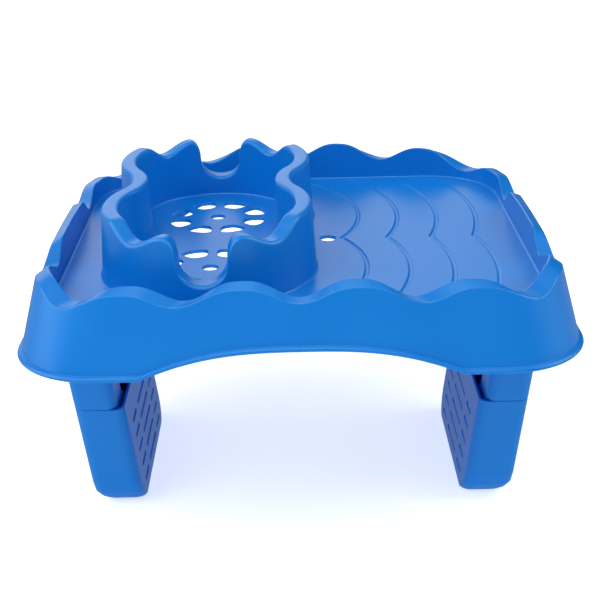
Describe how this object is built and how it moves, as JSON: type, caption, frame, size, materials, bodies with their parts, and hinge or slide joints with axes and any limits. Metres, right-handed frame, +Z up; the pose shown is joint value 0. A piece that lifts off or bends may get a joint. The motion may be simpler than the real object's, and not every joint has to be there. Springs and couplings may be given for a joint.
{
  "type": "hot tub tray",
  "caption": "Moulded tray that straddles a hot tub wall: wavy rim, lobed cup holder with finger notches and drain slots, rippled open floor and leaning legs with slotted grip faces.",
  "frame": {"origin": "middle of the footprint, on the floor that the soles stand on", "axes": "+X along the long side, away from the cup holder; +Y from front to back; +Z up"},
  "size_m": [0.441, 0.4107, 0.272],
  "materials": {
    "blue_plastic": "satin moulded polypropylene",
    "steel": "plain zinc-plated steel"
  },
  "bodies": {
    "root": {"tray": "blue_plastic", "left_leg_bracket": "blue_plastic", "right_leg_bracket": "blue_plastic", "left_grip_foot": "blue_plastic", "right_grip_foot": "blue_plastic", "left_leg_screws": "steel", "right_leg_screws": "steel"}
  },
  "joints": []
}
